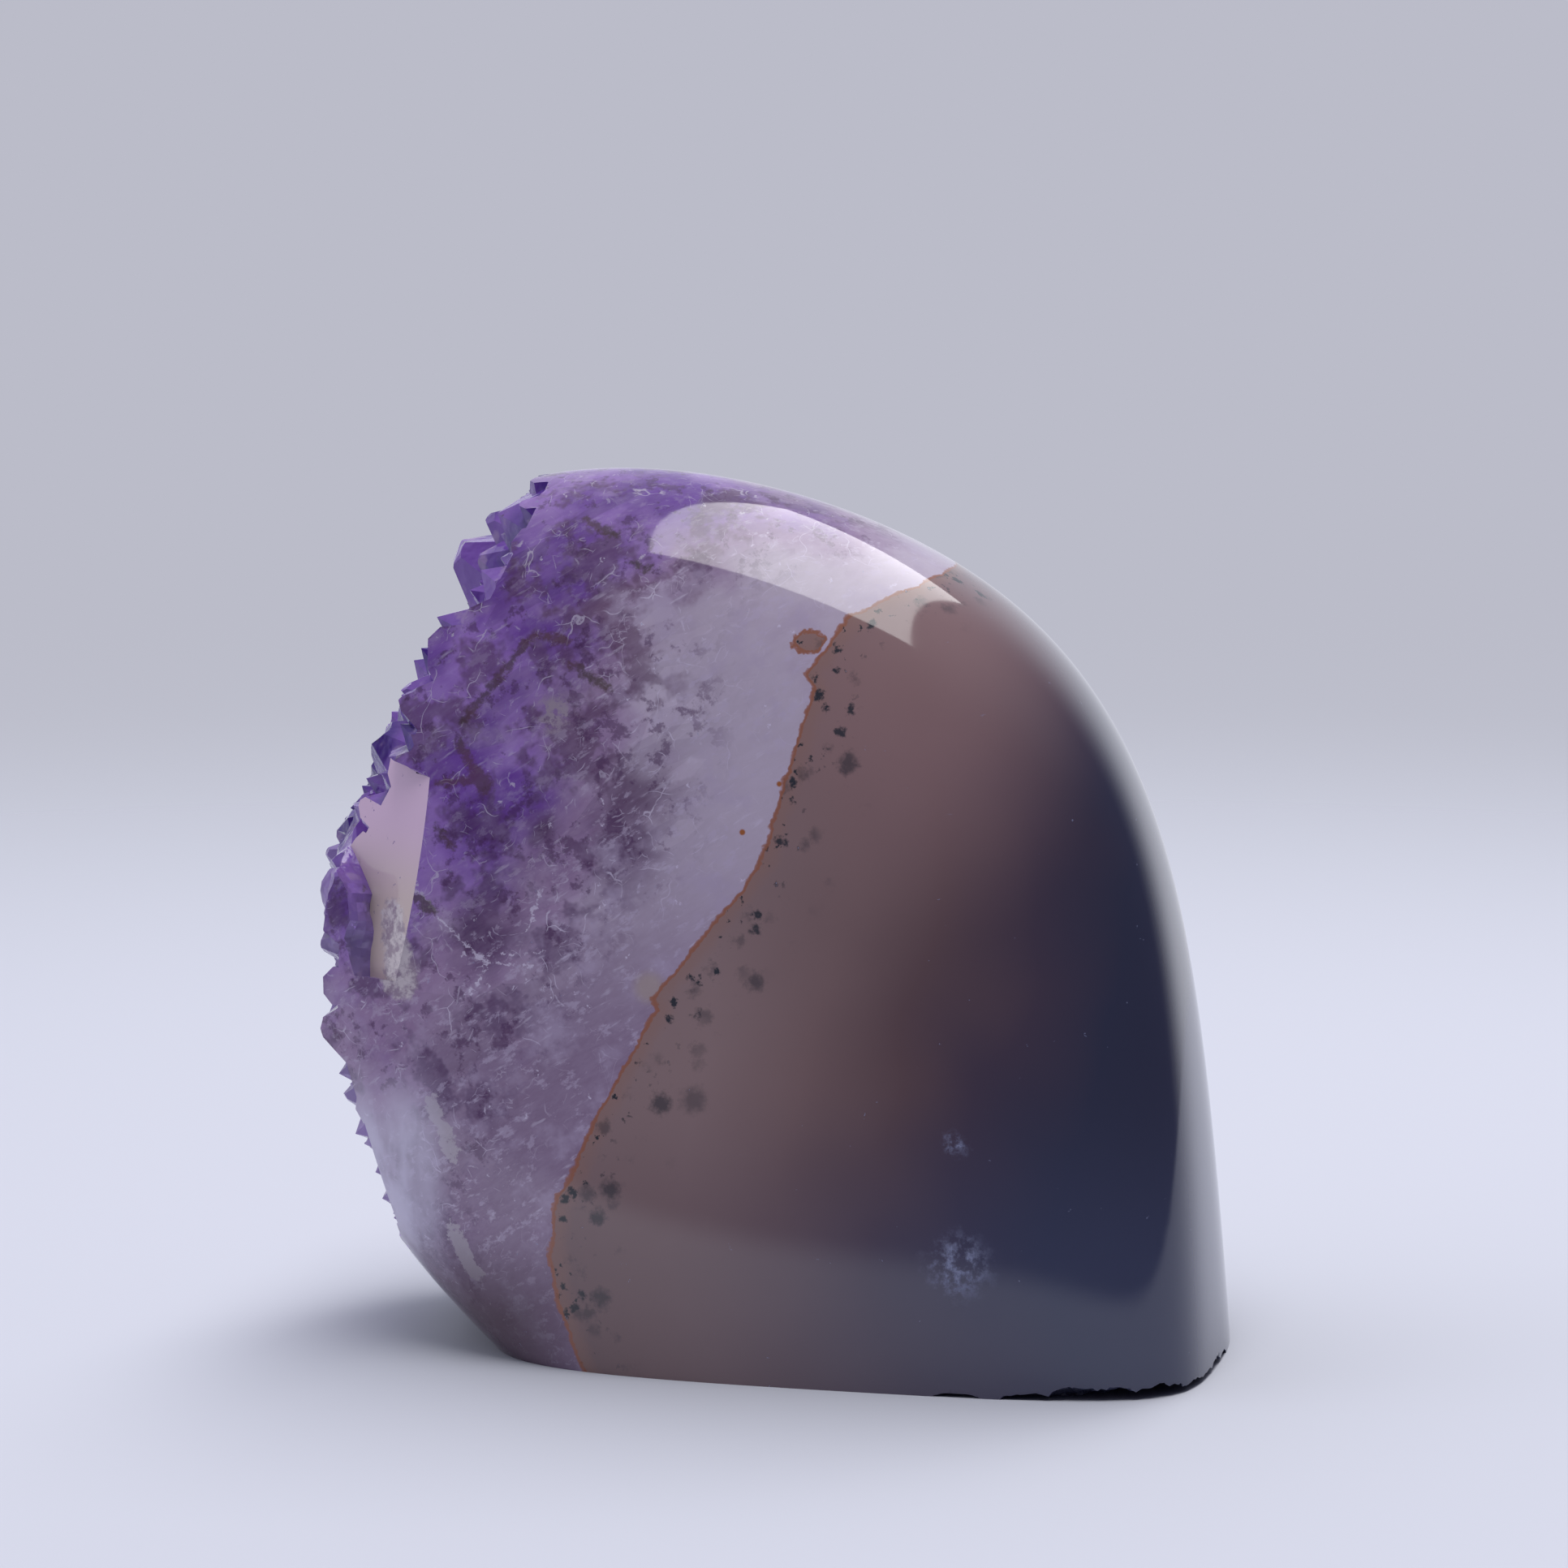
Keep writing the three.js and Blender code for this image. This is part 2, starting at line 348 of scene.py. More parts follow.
for face in stone_work.faces:
    centre = face.calc_center_median()
    on_form = all(abs(gauge(vertex.co - FORM_MIDDLE) - 1) < ON_FORM_WITHIN for vertex in face.verts)
    off_bevel = abs((centre - Vector(BEVEL_POINT)).dot(bevel_facing))
    on_bevel = off_bevel < ON_BEVEL_WITHIN and centre.x < BEVEL_LIES_BELOW_X
    if max(vertex.co.z for vertex in face.verts) < ON_SAW_CUT_WITHIN:
        kind = SAWN
    elif on_bevel and face.normal.dot(bevel_facing) > FACES_AS_BEVEL:
        kind = GROUND_FLAT
    elif on_form:
        kind = POLISHED
    elif centre.x > 0:
        kind = CHIPPED
    else:
        kind = CRYSTAL
    face[kind_layer] = kind
    face.smooth = kind == POLISHED
for edge in stone_work.edges:
    kinds = {face[kind_layer] for face in edge.link_faces}
    edge.smooth = kinds == {POLISHED}
for vertex in stone_work.verts:
    vertex.co = (vertex.co - OUTLINE_MIDDLE) / 1000
stone_work.to_mesh(stone_mesh)
stone_work.free()
stone_mesh.materials.clear()
stone = bpy.data.objects.new("amethyst_freeform_stone", stone_mesh)
scene.collection.objects.link(stone)

# What the stone is coloured with. Agate fills the right side, with a thin rusty rim where the quartz began to
# grow on it, and dark specks in the first millimetres. The quartz is milky at the rim and turns to clear
# violet towards the druse. Everything is placed in millimetres from the middle of the sawn face.
stone_finish = bpy.data.materials.new("amethyst_and_agate")
stone_finish.use_nodes = True
tree = stone_finish.node_tree
tree.nodes.clear()


def put(socket, value):
    if isinstance(value, bpy.types.NodeSocket):
        tree.links.new(value, socket)
    elif value is not None:
        socket.default_value = value


def calculate(operation, first, second=None, third=None, clamp=False):
    node = tree.nodes.new("ShaderNodeMath")
    node.operation = operation
    node.use_clamp = clamp
    for socket, value in zip(node.inputs, (first, second, third)):
        put(socket, value)
    return node.outputs[0]


def move(operation, first, second=None, third=None, scale=None):
    node = tree.nodes.new("ShaderNodeVectorMath")
    node.operation = operation
    for socket, value in zip(node.inputs, (first, second, third, scale)):
        put(socket, value)
    return node.outputs["Value" if operation in {"DISTANCE", "DOT_PRODUCT", "LENGTH"} else "Vector"]


def fade(value, start, end, low=0.0, high=1.0):
    """Goes softly from low to high as the value goes from start to end."""
    node = tree.nodes.new("ShaderNodeMapRange")
    node.interpolation_type = "SMOOTHSTEP"
    for socket, number in zip(node.inputs, (value, start, end, low, high)):
        put(socket, number)
    return node.outputs[0]


def blend(amount, under, over, blend_type="MIX"):
    node = tree.nodes.new("ShaderNodeMix")
    node.data_type = "RGBA"
    node.blend_type = blend_type
    put(node.inputs[0], amount)
    for socket, value in zip((node.inputs[6], node.inputs[7]), (under, over)):
        put(socket, (*value, 1) if isinstance(value, tuple) else value)
    return node.outputs[2]


def cloud(place, scale, detail=3.0, roughness=0.5, output="Factor"):
    node = tree.nodes.new("ShaderNodeTexNoise")
    for name, value in (("Vector", place), ("Scale", scale), ("Detail", detail), ("Roughness", roughness)):
        put(node.inputs[name], value)
    return node.outputs[0 if output == "Factor" else 1]


def grains(place, scale, feature="F1", output="Distance"):
    node = tree.nodes.new("ShaderNodeTexVoronoi")
    node.feature = feature
    put(node.inputs["Vector"], place)
    put(node.inputs["Scale"], scale)
    return node.outputs[output]


def srgb(red, green, blue):
    """A linear colour from the numbers that a picture holds, 0 to 255."""
    return tuple(
        ((c / 255 + 0.055) / 1.055) ** 2.4 if c > 10 else c / 255 / 12.92
        for c in (red, green, blue))


def curve_of(value, start, end, points):
    """The amount at a value, on straight lines through the points."""
    share = fade(value, start, end)
    share.node.interpolation_type = "LINEAR"
    node = tree.nodes.new("ShaderNodeFloatCurve")
    line = node.mapping.curves[0]
    low, high = min(p[1] for p in points), max(p[1] for p in points)
    for place, amount in points[1:-1]:
        line.points.new((place - start) / (end - start), (amount - low) / (high - low))
    line.points[0].location = (0, (points[0][1] - low) / (high - low))
    line.points[-1].location = (1, (points[-1][1] - low) / (high - low))
    for point in line.points:
        point.handle_type = "VECTOR"
    node.mapping.update()
    put(node.inputs["Value"], share)
    return calculate("MULTIPLY_ADD", node.outputs[0], high - low, low)


def along(place, start, end, width, softness):
    """1 on the line from start to end, 0 beyond its width."""
    run = Vector(end) - Vector(start)
    offset = move("SUBTRACT", place, tuple(start))
    share = calculate("MULTIPLY", move("DOT_PRODUCT", offset, tuple(run / run.length_squared)), 1, clamp=True)
    nearest = move("MULTIPLY_ADD", share, tuple(run), tuple(start))
    return fade(move("DISTANCE", place, nearest), width, width + softness, 1.0, 0.0)


def any_of(masks):
    total = masks[0]
    for mask in masks[1:]:
        total = calculate("MAXIMUM", total, mask)
    return total


coordinates = tree.nodes.new("ShaderNodeTexCoord")
place = move("SCALE", coordinates.outputs["Object"], scale=1000.0)
apart = tree.nodes.new("ShaderNodeSeparateXYZ")
put(apart.inputs[0], place)
x, y, z = apart.outputs

# The contact between agate and quartz: height and place from left to right, up the stone's front. Further
# back it lies a little more to the right, and near the top an islet of agate lies beside it in the quartz.
CONTACT = (
    (0, -14.7), (2.3, -15.7), (5.6, -16.8), (7.5, -17.1), (10, -17.3), (12.5, -17.1), (14.4, -16.7),
    (15.8, -15.6), (20.4, -13.8), (24.3, -11.6), (27.8, -9.7), (29.4, -8.6), (30.5, -8.9), (33.5, -6.3),
    (36.1, -4.4), (38.4, -2.4), (40.8, -0.7), (43.9, 0.4), (48.1, 1.5), (51.7, 2.6), (54.8, 3.5),
    (55.9, 2.9), (57.8, 4.4), (59.4, 5.5), (60.2, 6.1), (61.6, 9.1), (62.8, 12.1), (63.4, 14.5), (66, 22),
)
wobble = calculate("SUBTRACT", cloud(place, 0.55, 3), 0.5)
broken = cloud(place, 0.95, 4, 0.68)
slow = cloud(place, 0.15, 2)
crumble = calculate("SUBTRACT", cloud(place, 2.4, 2), 0.5)
contact_x = curve_of(z, 0, 66, CONTACT)
behind = calculate("MULTIPLY", calculate("ADD", y, 15), 0.12)
into_agate = calculate("SUBTRACT", calculate("SUBTRACT", x, contact_x), behind)
into_agate = calculate("MULTIPLY", into_agate, fade(z, 57, 60.5, 0.88, 0.5))
into_agate = calculate("MULTIPLY_ADD", wobble, 0.9, into_agate)
into_agate = calculate("MULTIPLY_ADD", crumble, 0.35, into_agate)
ISLET_SQUASH = (0.8, 0.8, 1.1)
ISLET_MIDDLE = (2.56, -10.9, 64.1)
islet_reach = move("DISTANCE", move("MULTIPLY", place, ISLET_SQUASH), ISLET_MIDDLE)
islet_reach = calculate("SUBTRACT", 1.0, islet_reach)
islet_reach = calculate("MULTIPLY_ADD", crumble, 0.9, islet_reach)
into_agate = calculate("MAXIMUM", into_agate, islet_reach)
depth = calculate("MULTIPLY", into_agate, -1)
is_agate = fade(into_agate, -0.06, 0.06)

# Agate: grey brown at the contact, a warm glow high up, darker low down, navy where it is thick at the right.
NAVY_EDGE = ((0, 15), (10, 13), (20, 13), (30, 14), (45, 16.5), (55, 16), (62, 13), (70.6, 10))
navy_x = curve_of(z, 0, 70.6, NAVY_EDGE)
drift = calculate("MULTIPLY_ADD", calculate("SUBTRACT", cloud(place, 0.045, 2), 0.5), 16, x)
agate_share = fade(calculate("SUBTRACT", drift, navy_x), -21, 11)
agate_share.node.interpolation_type = "LINEAR"
ramp = tree.nodes.new("ShaderNodeValToRGB")
AGATE_COLOURS = (
    (0.0, srgb(156, 132, 132)), (0.3, srgb(138, 113, 113)), (0.55, srgb(108, 86, 90)),
    (0.78, srgb(80, 68, 84)), (1.0, srgb(60, 62, 84)),
)
while len(ramp.color_ramp.elements) < len(AGATE_COLOURS):
    ramp.color_ramp.elements.new(0.5)
for element, (position, colour) in zip(ramp.color_ramp.elements, AGATE_COLOURS):
    element.position = position
    element.color = (*colour, 1)
put(ramp.inputs[0], agate_share)
agate = ramp.outputs[0]
WARM_AGATE = srgb(170, 136, 136)
LOW_AGATE = srgb(116, 94, 98)
LOW_NAVY = srgb(76, 82, 110)
AGATE_FRINGE = srgb(160, 124, 114)
glow = fade(move("DISTANCE", move("MULTIPLY", place, (1, 0.3, 0.8)), (11.6, -5, 44)), 2, 17, 0.7, 0.0)
agate = blend(glow, agate, WARM_AGATE)
low_dark = fade(z, 26, 8, 0.0, 0.6)
agate = blend(low_dark, agate, blend(fade(x, -12, 14), LOW_AGATE, LOW_NAVY))
fringe = fade(into_agate, 0.3, 1.7, 1.0, 0.0)
agate = blend(calculate("MULTIPLY", fringe, 0.5), agate, AGATE_FRINGE)

# Dark moss-like specks in the agate beside the contact: place and radius, then how blurred by depth.
SPECKS = (
    (8.2, -13.4, 59.7, 0.4, 0.15), (5.4, -14.1, 57.8, 0.35, 0.1), (5.2, -14.7, 56.2, 0.35, 0.1),
    (4.0, -15.2, 54.3, 0.5, 0.1), (3.6, -15.0, 55.6, 0.45, 0.1), (4.5, -15.5, 53.3, 0.3, 0.1),
    (6.4, -15.9, 53.3, 0.35, 0.2), (5.7, -16.2, 51.5, 0.4, 0.2), (6.2, -16.8, 49.1, 0.6, 0.6),
    (2.0, -16.3, 47.5, 0.35, 0.1), (1.9, -16.5, 46.1, 0.3, 0.1), (1.0, -16.7, 43.0, 0.4, 0.2),
    (-0.9, -17.0, 37.3, 0.35, 0.2), (-1.0, -17.0, 36.1, 0.25, 0.3), (-4.1, -16.6, 32.7, 0.35, 0.1),
    (-5.4, -16.4, 31.8, 0.3, 0.1), (-6.1, -16.1, 32.1, 0.3, 0.1), (-7.4, -16.0, 30.1, 0.4, 0.1),
    (-7.7, -16.0, 28.8, 0.35, 0.1), (-5.5, -16.5, 29.2, 0.3, 0.3), (-1.0, -17.3, 32.0, 0.5, 0.7),
    (-8.4, -16.3, 22.1, 0.7, 0.6), (-5.8, -16.8, 22.5, 0.6, 1.0), (-16.0, -14.7, 14.1, 0.45, 0.1),
    (-15.4, -14.9, 14.7, 0.4, 0.1), (-16.2, -14.6, 12.6, 0.3, 0.1), (-12.4, -15.6, 15.1, 0.6, 0.6),
    (-13.5, -15.4, 12.8, 0.5, 0.5), (-16.9, -14.2, 8.3, 0.2, 0.1), (-16.2, -14.4, 7.0, 0.25, 0.1),
    (-14.7, -14.9, 6.3, 0.3, 0.2), (-15.3, -14.5, 5.3, 0.3, 0.2), (-16.0, -14.2, 4.8, 0.25, 0.1),
    (-13.2, -15.4, 6.3, 0.5, 0.7), (13.9, -7.0, 62.9, 0.4, 0.1), (15.0, -6.9, 62.3, 0.5, 0.1),
    (16.8, -6.9, 61.3, 0.5, 0.15),
)
MOSS = srgb(32, 48, 58)
ragged = move("MULTIPLY_ADD", cloud(place, 1.6, 3, 0.65, output="Color"), (1.5, 1.5, 1.5), place)
ragged = move("SUBTRACT", ragged, (0.75, 0.75, 0.75))
specks = any_of([
    fade(move("DISTANCE", ragged, tuple(spot)), radius * 0.55, radius * 0.75 + 0.1 + blur,
         0.95 - 0.5 * min(blur, 1), 0.0)
    for *spot, radius, blur in SPECKS])
crumbs = grains(ragged, 1.0)
fine_specks = calculate("MULTIPLY", fade(crumbs, 0.12, 0.24, 0.9, 0.0), fade(into_agate, 4.5, 0.6))
smudges = calculate("MULTIPLY", fade(grains(ragged, 0.42), 0.1, 0.38, 0.5, 0.0), fade(into_agate, 8, 2))
patchy = fade(cloud(place, 0.2, 2), 0.43, 0.54)
small_specks = calculate("MULTIPLY", calculate("MAXIMUM", fine_specks, smudges), patchy)
specks = calculate("MAXIMUM", specks, small_specks)
agate = blend(specks, agate, MOSS)

# Quartz: milky beside the contact, violet and then deep violet towards the druse. Its crystals grew side
# by side, up and to the left, and broke up into needles, veils and hair cracks.
LOW_MILK = srgb(174, 152, 178)
MILK = srgb(236, 222, 240)
MAUVE = srgb(190, 160, 198)
DEEP_VIOLET = srgb(140, 86, 204)
BRIGHT_VIOLET = srgb(200, 154, 250)
SHARD = srgb(92, 62, 120)
LOW_GLOOM = srgb(84, 52, 96)
HIGH_GLOOM = srgb(104, 68, 92)
DARK_FIBRE = srgb(84, 56, 96)
PALE_FIBRE = srgb(190, 176, 204)
FLECK = srgb(204, 190, 216)
MOTE = srgb(88, 56, 96)
VEIL = srgb(190, 174, 202)
BRIGHT_CRACK_AND_GLINT = srgb(226, 216, 238)
turned = tree.nodes.new("ShaderNodeMapping")
turned.vector_type = "POINT"
turned.inputs["Rotation"].default_value = (0, math.radians(32), 0)
put(turned.inputs["Vector"], place)
grown = turned.outputs[0]
violet = fade(depth, 5, 25)
violet = calculate("MULTIPLY", violet, fade(z, 12, 40, 0.3, 1.0))
violet = calculate("ADD", violet, calculate("MULTIPLY", fade(z, 52, 64, 0.0, 0.45), fade(depth, 3, 12)))
violet_drift = calculate("SUBTRACT", cloud(grown, 0.11, 4, 0.55), 0.5)
violet = calculate("MULTIPLY_ADD", violet_drift, 1.3, violet, clamp=True)
milk = blend(fade(z, 24, 46), LOW_MILK, MILK)
quartz = blend(fade(violet, 0.0, 0.5), milk, MAUVE)
quartz = blend(fade(violet, 0.45, 0.95), quartz, blend(fade(slow, 0.4, 0.6), DEEP_VIOLET, BRIGHT_VIOLET))
columns = grains(move("MULTIPLY", grown, (0.22, 1, 1)), 0.34, output="Color")
columns = blend(0.24, (0.5, 0.5, 0.5), columns)
tone = tree.nodes.new("ShaderNodeRGBToBW")
put(tone.inputs[0], columns)
toned = blend(1.0, quartz, calculate("MULTIPLY", tone.outputs[0], 2), "MULTIPLY")
quartz = blend(fade(depth, 3, 12), quartz, toned)
shards = grains(move("MULTIPLY", grown, (0.5, 1, 1)), 0.75, output="Color")
shards = calculate("MULTIPLY", move("DOT_PRODUCT", shards, (1, 0, 0)), fade(depth, 1, 9))
quartz = blend(calculate("MULTIPLY", shards, 0.3), quartz, blend(0.6, quartz, SHARD))
gloom = fade(cloud(grown, 0.17, 4, 0.68), 0.49, 0.58)
gloom = calculate("MULTIPLY", gloom, fade(depth, 4, 11, 0.0, 0.8))
swept = move("MULTIPLY_ADD", cloud(place, 0.22, 2, output="Color"), (6, 6, 6), place)
swept = move("SUBTRACT", swept, (3, 3, 3))
DARK_PATCHES = (
    # place, reach
    (-10.6, -13.8, 45.6, 2.2), (-11.2, -14.1, 42.1, 2.0), (-22.2, -12.2, 34.3, 2.2), (-18, -13, 44, 1.2),
)
dark_patches = any_of([
    fade(move("DISTANCE", swept, tuple(spot)), reach * 0.4, reach * 1.9, 1.0, 0.0)
    for *spot, reach in DARK_PATCHES])
gloom = calculate("MAXIMUM", gloom, dark_patches)
quartz = blend(calculate("MULTIPLY", gloom, 0.8), quartz, blend(fade(z, 30, 62), LOW_GLOOM, HIGH_GLOOM))
fibres = cloud(move("MULTIPLY", grown, (0.4, 1.5, 1.5)), 1.0, 3, 0.65)
dark_fibres, pale_fibres = blend(0.35, quartz, DARK_FIBRE), blend(0.5, quartz, PALE_FIBRE)
quartz = blend(fade(fibres, 0.3, 0.7, 0.0, 0.26), dark_fibres, pale_fibres)
flecks = fade(cloud(move("MULTIPLY", grown, (0.6, 1.2, 1.2)), 0.8, 4, 0.72), 0.55, 0.64)
quartz = blend(calculate("MULTIPLY", flecks, fade(violet, 0.95, 0.3, 0.2, 0.5)), quartz, FLECK)
motes = fade(cloud(move("ADD", grown, (30, 0, 0)), 0.5, 4, 0.7), 0.54, 0.63)
quartz = blend(calculate("MULTIPLY", motes, fade(depth, 3, 9, 0.0, 0.6)), quartz, MOTE)
veils = fade(cloud(grown, 0.26, 4, 0.62), 0.5, 0.72)
veils = calculate("MULTIPLY", veils, fade(violet, 1.0, 0.1, 0.35, 0.9))
quartz = blend(calculate("MULTIPLY", veils, 0.7), quartz, VEIL)
bent = move("MULTIPLY_ADD", ragged, (0.14, 0.14, 0.14), swept)


def hair_cracks(scale, width, coverage):
    edge = fade(grains(bent, scale, "DISTANCE_TO_EDGE"), width * scale * 0.3, width * scale, 1.0, 0.0)
    return calculate("MULTIPLY", edge, fade(cloud(place, scale * 1.3 + 0.1, 2), coverage, coverage + 0.1))


long_hairs = calculate("MULTIPLY", hair_cracks(0.24, 0.055, 0.54), 0.85)
short_hairs = calculate("MULTIPLY", hair_cracks(0.62, 0.05, 0.55), 0.55)
hairs = any_of([long_hairs, short_hairs])
hairs = calculate("MULTIPLY", hairs, fade(depth, 1, 8, 0.3, 1.0))
needles = cloud(move("MULTIPLY", grown, (0.3, 2.2, 2.2)), 1.0, 2, 0.5)
needles = calculate("MULTIPLY", fade(needles, 0.62, 0.74), fade(wobble, -0.08, 0.1))
# Painted glints: a few tiny bright flakes stand for sparkles of light in the quartz.
flake_glint_choice = move("DOT_PRODUCT", crumbs.node.outputs["Color"], (1, 0, 0))
painted_sparkle = calculate("MULTIPLY", fade(flake_glint_choice, 0.88, 0.89), fade(crumbs, 0.08, 0.2, 1.0, 0.0))
bright_lines_and_glints = any_of([hairs, calculate("MULTIPLY", needles, 0.5), painted_sparkle])
FRACTURES = (
    ((-28.3, -10.1, 38.9), (-24.8, -11.4, 34.8)), ((-24.8, -11.4, 34.8), (-22.2, -12.3, 32.7)),
    ((-22.2, -12.3, 32.7), (-18.3, -13.2, 32.6)), ((-22.2, -12.3, 32.7), (-23.4, -12.1, 30.2)),
    ((-22.8, -12, 33.2), (-17.6, -13.2, 33.6)), ((-17.9, -13, 38.6), (-19, -13, 35.2)),
)
fractures = any_of([along(ragged, start, end, 0.06, 0.16) for start, end in FRACTURES])
bright_lines_and_glints = calculate("MAXIMUM", bright_lines_and_glints, fractures)
# Hair cracks, needles and fractures are real; the painted glints share their bright colour.
quartz = blend(calculate("MULTIPLY", bright_lines_and_glints, 0.75), quartz, BRIGHT_CRACK_AND_GLINT)

# Rusty and olive seams between the crystals, a pale bruise, beige at the contact, white chips low down, a
# painted pale reflection on the far left, painted shade under the overhang and two rusty dots at the contact.
SEAMS = (
    ((-18.6, -9.3, 58.2), (-24.1, -9.5, 51.4), 0.25), ((-18.4, -9.6, 58.3), (-15.6, -9.9, 57.9), 0.3),
    ((-22.8, -10.5, 47.3), (-24.4, -9.8, 49.8), 0.35), ((-22.6, -10.5, 46.9), (-25.9, -9.9, 46.7), 0.3),
    ((-14.6, -5.6, 67.1), (-12.0, -7.0, 65.9), 0.25), ((-26.2, -10, 43.2), (-24.9, -10.8, 41.6), 0.2),
    ((-28.7, -10.0, 38.3), (-26.6, -10.8, 36.6), 0.4), ((-15.5, -10.5, 56.2), (-12.6, -11.6, 54.4), 0.3),
    ((-11, -8.9, 64.3), (-9.5, -9.3, 63.6), 0.25), ((-22.9, -10.6, 47.2), (-22.3, -10.8, 46.6), 1.0),
)
RUSTY_SEAM = srgb(110, 76, 84)
OLIVE_SEAM = srgb(82, 70, 56)
PALE_BRUISE = srgb(176, 160, 176)
BEIGE = srgb(182, 164, 160)
LOW_CHIP = srgb(190, 180, 192)
PAINTED_LEFT_REFLECTION = srgb(224, 218, 240)
PAINTED_SHADE_UNDER_LEFT = srgb(74, 50, 62)
RUST_DOT = srgb(172, 104, 62)
seams = any_of([along(ragged, start, end, width * 0.5, 0.45) for start, end, width in SEAMS])
seam_colour = blend(fade(slow, 0.4, 0.6), RUSTY_SEAM, OLIVE_SEAM)
quartz = blend(calculate("MULTIPLY", seams, 0.75), quartz, seam_colour)
pale = fade(move("DISTANCE", ragged, (-16.7, -11.2, 52.3)), 0.6, 2.2, 1.0, 0.0)
pale = calculate("MULTIPLY", pale, fade(broken, 0.42, 0.56))
quartz = blend(pale, quartz, PALE_BRUISE)
beige = fade(move("DISTANCE", place, (-9.3, -15.5, 31.2)), 0.6, 1.7, 0.8, 0.0)
quartz = blend(beige, quartz, BEIGE)
LOW_CHIPS = (
    ((-26.6, -11.4, 21.4), (-25, -11.9, 17.2), 0.25), ((-25.2, -11.2, 11), (-23.4, -11.2, 7.4), 0.35),
)
low_chips = any_of([along(ragged, start, end, width, 1.3) for start, end, width in LOW_CHIPS])
low_chips = fade(calculate("MULTIPLY", low_chips, broken), 0.32, 0.42)
quartz = blend(calculate("MULTIPLY", low_chips, 0.85), quartz, LOW_CHIP)
# A painted reflection: the far left of the polish is painted pale, in streaks, as if it mirrored a bright
# room.
painted_left_reflection = calculate("MULTIPLY", fade(x, -24.5, -29), fade(z, 26, 17))
painted_reflection_streaks = cloud(move("MULTIPLY", place, (1, 1, 0.3)), 0.35, 3)
painted_left_reflection = calculate("MULTIPLY", painted_left_reflection, fade(painted_reflection_streaks, 0.3, 0.6, 0.45, 0.9))
quartz = blend(painted_left_reflection, quartz, PAINTED_LEFT_REFLECTION)
# Painted shade: the quartz is darkened low down on the left, under the overhang.
painted_overhang_shade = calculate("MULTIPLY", fade(x, -10, -22), fade(z, 12, 3, 0.0, 0.85))
quartz = blend(painted_overhang_shade, quartz, PAINTED_SHADE_UNDER_LEFT)
RUST_DOTS = ((0.9, -16.0, 47.4), (-2.0, -16.0, 43.6))
dots = any_of([fade(move("DISTANCE", place, spot), 0.16, 0.3, 1.0, 0.0) for spot in RUST_DOTS])
quartz = blend(dots, quartz, RUST_DOT)

# The rusty rim where the two meet.
colour = blend(is_agate, quartz, agate)
RUSTY_RIM = srgb(164, 104, 80)
rim_width = calculate("MULTIPLY_ADD", wobble, 0.25, 0.17)
off_rim = calculate("ABSOLUTE", calculate("SUBTRACT", into_agate, 0.05))
rim = fade(calculate("DIVIDE", off_rim, rim_width), 0.55, 1.25, 1.0, 0.0)
colour = blend(calculate("MULTIPLY", rim, 0.8), colour, RUSTY_RIM)

# Pale bruises and dust on the agate.
BRUISE = srgb(156, 164, 200)
bruise_reach = move("DISTANCE", move("MULTIPLY", ragged, (1, 0.5, 1)), (14.8, -11.1, 10.4))
bruise = fade(bruise_reach, 0.8, 3.4, 1.0, 0.0)
small_bruise = fade(move("DISTANCE", ragged, (14.6, -21.7, 19.9)), 0.3, 1.4, 1.0, 0.0)
bruise = calculate("MULTIPLY", calculate("MAXIMUM", bruise, small_bruise), fade(broken, 0.42, 0.66))
dust_choice = move("DOT_PRODUCT", crumbs.node.outputs["Color"], (0, 1, 0))
dust = calculate("MULTIPLY", fade(dust_choice, 0.86, 0.87), fade(crumbs, 0.05, 0.09, 1.0, 0.0))
colour = blend(calculate("MULTIPLY", calculate("MAXIMUM", bruise, dust), 0.65), colour, BRUISE)

# The druse's own faces, the ground bevel with its torn left edge, and the saw cut.
surface_kind = tree.nodes.new("ShaderNodeAttribute")
surface_kind.attribute_name = "surface_kind"


def is_kind(number):
    return calculate("COMPARE", surface_kind.outputs["Fac"], float(number), 0.3)


PALE_CRYSTAL = srgb(158, 104, 222)
DARK_CRYSTAL = srgb(94, 52, 170)
PAINTED_CRYSTAL_GLINT = srgb(200, 166, 226)
STAINED_CRYSTAL = srgb(96, 70, 66)
LOW_CRYSTAL_PAINTED_LIGHT = srgb(188, 166, 216)
on_druse = is_kind(CRYSTAL)
crystal_colour = blend(fade(slow, 0.4, 0.62), PALE_CRYSTAL, DARK_CRYSTAL)
# Painted glints: pale lilac patches on the crystals stand for highlights.
crystal_colour = blend(fade(wobble, 0.06, 0.2, 0, 0.7), crystal_colour, PAINTED_CRYSTAL_GLINT)
crystal_colour = blend(fade(broken, 0.63, 0.72, 0, 0.7), crystal_colour, STAINED_CRYSTAL)
# Painted light: the lower crystals, a steep wall that the lamps leave dark, are painted paler.
crystal_colour = blend(fade(z, 42, 33, 0.0, 0.65), crystal_colour, LOW_CRYSTAL_PAINTED_LIGHT)
colour = blend(on_druse, colour, crystal_colour)
on_bevel = is_kind(GROUND_FLAT)
BEVEL_FLECKS = (
    ((-32.6, -7.6, 41.2), (-32.4, -7.8, 38.2)), ((-31, -9, 38.4), (-29.9, -9.8, 39)),
    ((-33.4, -6.8, 39), (-33, -7, 36)),
)
PINK_BEVEL = srgb(220, 188, 216)
BEIGE_BEVEL = srgb(214, 194, 190)
VIOLET_FLECK = srgb(92, 60, 142)
TORN_DARK = srgb(166, 148, 166)
TORN_PALE = srgb(222, 212, 216)
bevel_spots = fade(broken, 0.66, 0.69, 0.0, 0.8)
bevel_flecks = any_of([along(ragged, start, end, 0.25, 0.3) for start, end in BEVEL_FLECKS])
